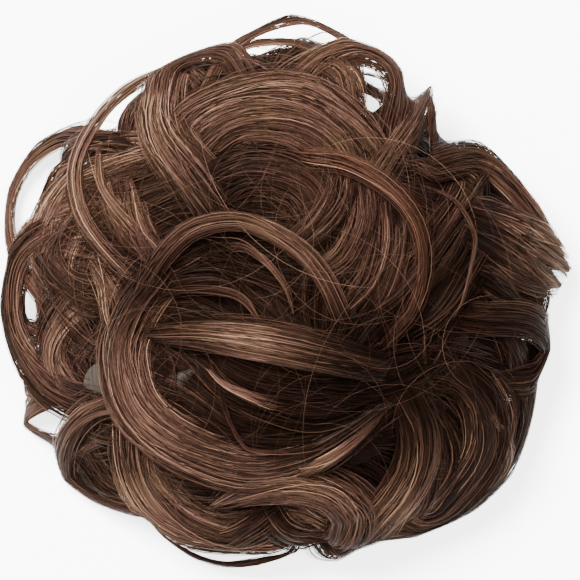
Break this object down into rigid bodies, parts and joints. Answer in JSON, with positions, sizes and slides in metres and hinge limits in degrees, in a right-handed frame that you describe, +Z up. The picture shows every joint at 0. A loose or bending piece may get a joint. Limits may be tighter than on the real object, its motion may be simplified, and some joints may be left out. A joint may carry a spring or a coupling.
{
  "type": "top knot hairpiece",
  "caption": "Messy bun hairpiece: curled brown hair sewn round an elastic loop that slips over a bun or ponytail.",
  "frame": {"origin": "on the surface the hairpiece lies on, below the middle of its bounding box", "axes": "+Z up out of the curls, away from the elastic; +X to the right and +Y to the top as seen from above"},
  "size_m": [0.1431, 0.1394, 0.054],
  "materials": {
    "hair_brown": "satin synthetic hair",
    "hair_light": "satin synthetic hair",
    "hair_red": "satin synthetic hair",
    "elastic": "matte knitted elastic"
  },
  "bodies": {
    "root": {"elastic_band": "elastic", "outer_curls": "hair_brown", "crown_curls": "hair_brown", "sweep_lock": "hair_light", "centre_lock": "hair_light", "arc_lock": "hair_brown", "hoop_lock": "hair_red"}
  },
  "joints": []
}
